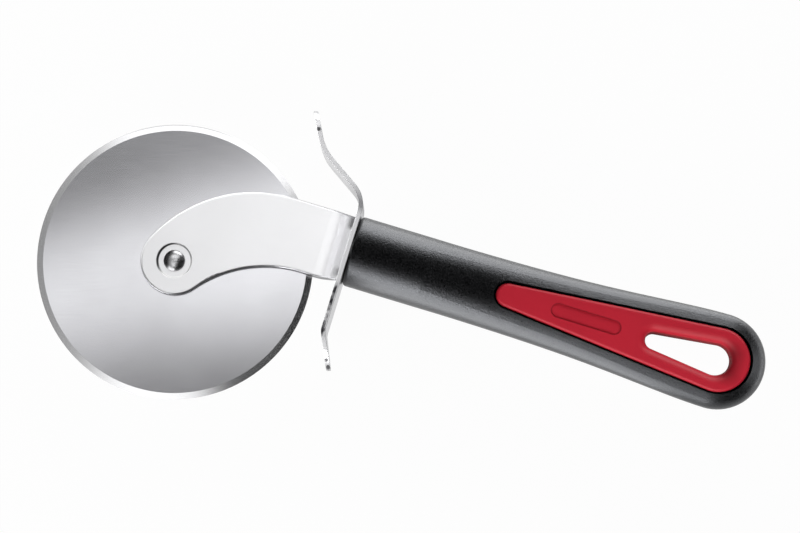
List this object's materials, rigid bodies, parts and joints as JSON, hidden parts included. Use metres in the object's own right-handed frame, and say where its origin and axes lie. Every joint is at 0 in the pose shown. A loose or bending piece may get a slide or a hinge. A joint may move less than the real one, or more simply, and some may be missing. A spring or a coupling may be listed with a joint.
{
  "type": "pizza cutter wheel",
  "caption": "Hand-held pizza cutter: a bevelled steel wheel spins on a riveted axle in a stamped fork, with a bent finger guard and a dark grip with a red inlay and hanging slot.",
  "frame": {"origin": "centre of the box's base, with the tool lying flat", "axes": "+X along the grip from the wheel to the hanging slot, +Z along the wheel's axle, towards the rivet's domed head"},
  "size_m": [0.1988, 0.0874, 0.0195],
  "materials": {
    "wheel_steel": "fine circular brush, near mirror",
    "axle_steel": "polished",
    "sheet_steel": "satin polish",
    "washer_plastic": "natural nylon",
    "grip_plastic": "fine spark-eroded grain",
    "inlay_plastic": "satin"
  },
  "bodies": {
    "frame": {"front_arm": "sheet_steel", "rear_arm": "sheet_steel", "finger_guard": "sheet_steel", "handle": "grip_plastic", "handle_inlay": "inlay_plastic", "axle_rivet": "axle_steel", "axle_bush": "axle_steel", "front_washer": "washer_plastic", "rear_washer": "washer_plastic"},
    "wheel": {"cutting_wheel": "wheel_steel"}
  },
  "joints": [
    {"name": "wheel_spin", "type": "hinge", "parent": "frame", "child": "wheel", "pos_m": [-0.0619, -0.00625, 0.00973], "axis": [0, 0, 1], "continuous": true}
  ]
}
